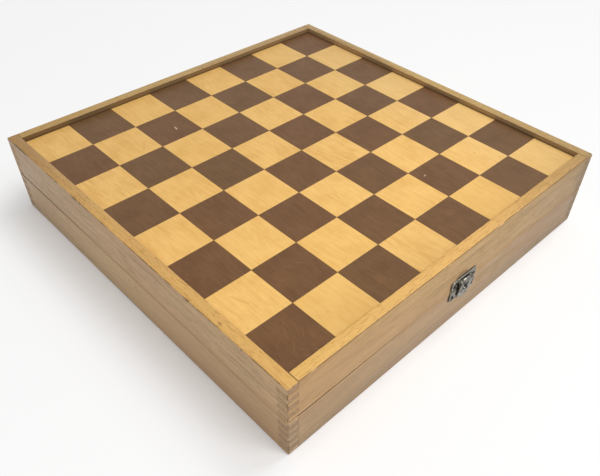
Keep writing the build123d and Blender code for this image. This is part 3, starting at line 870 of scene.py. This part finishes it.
# Marks on the squares: their place, their reach, their turn, their colour and how much they cover
pale_marks = (
    ((1.27, 0.49), (0.00035, 0.0007), 0.2, (110, 74, 42), 0.8),
    ((6.57, 1.54), (0.0009, 0.0005), 0.1, (170, 110, 60), 0.7),
    ((0.43, 1.62), (0.0012, 0.008), 0.35, (214, 158, 82), 0.4),
    ((1.75, 6.3), (0.0012, 0.010), -0.6, (222, 166, 92), 0.45),
    ((1.52, 4.35), (0.0010, 0.009), -0.25, (220, 164, 90), 0.45),
    ((3.62, 4.3), (0.0010, 0.008), -0.5, (220, 164, 90), 0.4),
    ((3.45, 2.45), (0.0010, 0.009), -0.3, (220, 164, 90), 0.4),
)
dark_marks = (
    ((2.60, 6.40), (0.0005, 0.0026), -0.12, (236, 208, 170), 0.95),
    ((5.19, 1.73), (0.0017, 0.0004), 0.15, (224, 200, 176), 0.9),
    ((0.17, 2.62), (0.0007, 0.0006), 0.0, (150, 120, 96), 0.6),
    ((0.42, 0.34), (0.00025, 0.0055), -0.72, (160, 116, 78), 0.36),
    ((0.50, 0.62), (0.00022, 0.0070), -0.55, (156, 112, 76), 0.32),
    ((0.30, 0.55), (0.00022, 0.0045), -0.95, (156, 112, 76), 0.30),
    ((0.70, 0.44), (0.00025, 0.0060), -0.62, (160, 116, 78), 0.30),
    ((0.62, 0.80), (0.00020, 0.0050), -0.9, (152, 110, 76), 0.30),
    ((2.62, 0.62), (0.006, 0.007), 0.5, (94, 60, 36), 0.25),
    ((2.40, 0.42), (0.005, 0.004), 0.9, (140, 98, 62), 0.25),
    ((4.45, 0.55), (0.007, 0.005), -0.4, (94, 64, 40), 0.25),
    ((4.66, 0.70), (0.004, 0.004), 0.3, (136, 98, 66), 0.25),
)
dress("board_light_squares", veneer_finish("pale_veneer", True, pale_marks))
dress("board_dark_squares", veneer_finish("dark_veneer", False, dark_marks))
for node in ("lid_board_panel", "base_bottom_panel"):
    dress(node, ply_finish(node + "_ply", "X", (222, 190, 144), (196, 156, 108)))
for node, along in (("long_divider", "X"), ("left_cross_divider", "Y"), ("right_cross_divider", "Y")):
    low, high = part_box(node)
    start, end = (low.y, high.y) if along == "X" else (low.x, high.x)
    ply = ply_finish(node + "_ply", along, (226, 196, 150), (202, 164, 116), (start + end) / 2, end - start)
    eased(node, DIVIDER_EASE, ply, "base", "dividers")

# ---------------------------------------------------------------- the clasp and the hinges

nickel, dull, shadow = (152, 150, 140), (62, 56, 48), (34, 28, 20)
lid_plate_marks = (
    ((-0.0036, plate_low.y, 0.0348), (0.0013, 0.004, 0.0034), shadow, 0.9),
    ((0.0002, plate_low.y, 0.0325), (0.0024, 0.004, 0.0026), shadow, 0.7),
)
base_plate_marks = (
    ((-0.0047, plate_low.y, 0.0290), (0.0014, 0.004, 0.0026), shadow, 0.95),
    ((-0.0060, plate_low.y, 0.0257), (0.0014, 0.004, 0.0030), shadow, 0.9),
    ((0.0012, plate_low.y, 0.0290), (0.0024, 0.004, 0.0030), shadow, 0.8),
)
hasp_marks = (
    ((-0.0029, hasp_low.y, 0.0268), (0.0016, 0.004, 0.0026), shadow, 0.75),
    ((-0.0024, hasp_low.y, 0.0348), (0.0020, 0.004, 0.0024), shadow, 0.7),
    ((0.0010, hasp_low.y, 0.0240), (0.0040, 0.004, 0.0016), (96, 92, 86), 0.6),
)
for body, marks in (("lid", lid_plate_marks), ("base", base_plate_marks)):
    plate = f"clasp_{body}_plate"
    stained_nickel = plate_finish(plate + "_nickel", nickel, dull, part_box(plate), marks)
    eased(plate, PLATE_EASE, stained_nickel, body, "clasp_metal", border=True)
worn_nickel = plate_finish("clasp_hasp_nickel", (156, 153, 146), (66, 60, 54), None, hasp_marks)
eased("clasp_hasp", HASP_EASE, worn_nickel, "hasp", "clasp_metal", lay=lobe_laid_in)

hinge_nickel = plate_finish("hinge_nickel", (196, 192, 182), (128, 118, 100))
for side in ("left", "right"):
    eased(f"{side}_hinge_base_leaf", LEAF_EASE, hinge_nickel, "base", "hinge_metal")
    eased(f"{side}_hinge_lid_leaf", LEAF_EASE, hinge_nickel, "lid", "hinge_metal")
    dress(f"{side}_hinge_pin", hinge_nickel)
dress("clasp_hasp_pin", plate_finish("pin_steel", (150, 146, 136), (84, 74, 60)))

nail_steel = plate_finish("nail_steel", (58, 52, 44), (30, 25, 20))
nail = nail_jig()
plate_face = plate_high.y - SHEET
for body in ("lid", "base"):
    group = f"clasp_{body}_nails"
    low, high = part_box(group)
    head = (high.z - low.z) / 2
    points = [(x, plate_face, low.z + head) for x in (low.x + head, high.x - head)]
    sizes = {
        "Head Radius": head,
        "Head Height": plate_face - low.y,
        "Shank Radius": NAIL_SHANK,
        "Length": high.y - plate_face,
        "Lean": (math.pi / 2, 0.0, 0.0),
        "Seed": 3,
    }
    nail.fasten(group + "_domed", points, sizes, nail_steel, body, "nail_metal", group)

screw_steel = plate_finish("screw_steel", (176, 172, 160), (104, 94, 78))
screw = screw_jig()
leaf_low, leaf_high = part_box("left_hinge_base_leaf")
for body, lean in (("base", 0.0), ("lid", math.pi)):
    group = f"hinge_{body}_screws"
    low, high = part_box(group)
    head = (high.y - low.y) / 2
    level = high.z if body == "base" else low.z
    outer = low.x + head
    inner = leaf_low.x + leaf_high.x - outer
    points = [(x, low.y + head, level) for x in (outer, inner, -inner, -outer)]
    sizes = {
        "Head Radius": head,
        "Head Height": SCREW_HEAD_HEIGHT,
        "Shank Radius": SCREW_SHANK,
        "Length": high.z - low.z,
        "Slot": SCREW_SLOT,
        "Lean": (lean, 0.0, 0.0),
        "Seed": 11,
    }
    screw.fasten(group + "_slotted", points, sizes, screw_steel, body, "screw_metal", group)

# ---------------------------------------------------------------- floor, light and camera

def backdrop_rays(bench):
    """One for the rays that show the backdrop: seen, mirrored and seen through."""
    seen, mirrored, through = (
        bench.node("ShaderNodeLightPath", output=f"Is {kind} Ray")
        for kind in ("Camera", "Glossy", "Transmission")
    )
    return (seen + mirrored + through).smaller(1.0)


def lay_floor():
    """White paper whose shadows are lifted, least close to the box, and which fades out far away."""
    floor = Finish("pale_floor")
    shown = backdrop_rays(floor)
    paper = floor.mix(shown, (0.78, 0.78, 0.78, 1), (1.0, 1.0, 1.0, 1))
    lit = floor.node("ShaderNodeBsdfDiffuse", values={"Color": paper})
    distance = floor.node("ShaderNodeEmission", values={"Color": (PAPER, PAPER, PAPER, 1), "Strength": 1.0})
    from_box = abs(floor.x).larger(abs(floor.y)) - CASE_SIDE
    far = floor.node("ShaderNodeVectorMath", {"operation": "LENGTH"}, {0: floor.place}, "Value")
    lift = floor.rise(from_box, LIFT_START, LIFT_END, LIFT_NEAR, LIFT_FAR)
    fade = (lift + floor.rise(far, 0.5, 2.0, 0.0, 1.0 - LIFT_FAR)) * shown
    surface = floor.node("ShaderNodeMixShader", values={0: fade, 1: lit, 2: distance})
    floor.node("ShaderNodeOutputMaterial", values={"Surface": surface})

    sheet = bpy.data.meshes.new("floor")
    corners = [(x * FLOOR_REACH, y * FLOOR_REACH) for x, y in ((-1, -1), (1, -1), (1, 1), (-1, 1))]
    sheet.from_pydata([(x, y, -FLOOR_DROP) for x, y in corners], [], [(0, 1, 2, 3)])
    sheet.materials.append(floor.material)
    ground = bpy.data.objects.new("floor", sheet)
    bpy.context.scene.collection.objects.link(ground)


def fill_studio():
    """Even air all round, which looks as white as the paper."""
    sky = bpy.data.worlds.new("studio")
    bpy.context.scene.world = sky
    sky.use_nodes = True
    sky.node_tree.nodes.clear()
    air = Bench(sky.node_tree)
    strength = backdrop_rays(air) * (PAPER - DOME) + DOME
    glow = air.node("ShaderNodeBackground", values={"Color": (1, 1, 1, 1), "Strength": strength})
    air.node("ShaderNodeOutputWorld", values={"Surface": glow})


def hang_lamp(name, place, size, power):
    """A square white softbox that looks at the box."""
    light = bpy.data.lights.new(name, "AREA")
    light.size = size
    light.energy = power
    lamp = bpy.data.objects.new(name, light)
    lamp.location = place
    lamp.rotation_euler = (-lamp.location).to_track_quat("-Z", "Y").to_euler()
    bpy.context.scene.collection.objects.link(lamp)


def set_camera(place, turns, focal_length, shift):
    """A full-frame camera, placed in metres and turned in degrees."""
    lens = bpy.data.cameras.new("camera")
    lens.sensor_width = 36.0
    lens.lens = focal_length
    lens.shift_x, lens.shift_y = shift
    lens.clip_start = 0.01
    camera = bpy.data.objects.new("camera", lens)
    camera.location = place
    camera.rotation_euler = Euler([math.radians(turn) for turn in turns], "XYZ")
    bpy.context.scene.collection.objects.link(camera)
    bpy.context.scene.camera = camera


lay_floor()
fill_studio()
hang_lamp("window", (1.35, -0.25, 2.2), size=0.9, power=17.0)
hang_lamp("ceiling_box", (0.0, -0.5, 0.78), size=0.35, power=3.2)
set_camera(
    (-0.26072, -0.27707, 0.30803), (45.5901, -1.5038, -44.4852), focal_length=37.53, shift=(-0.0368, 0.0555)
)
bpy.context.scene.view_settings.view_transform = "Standard"
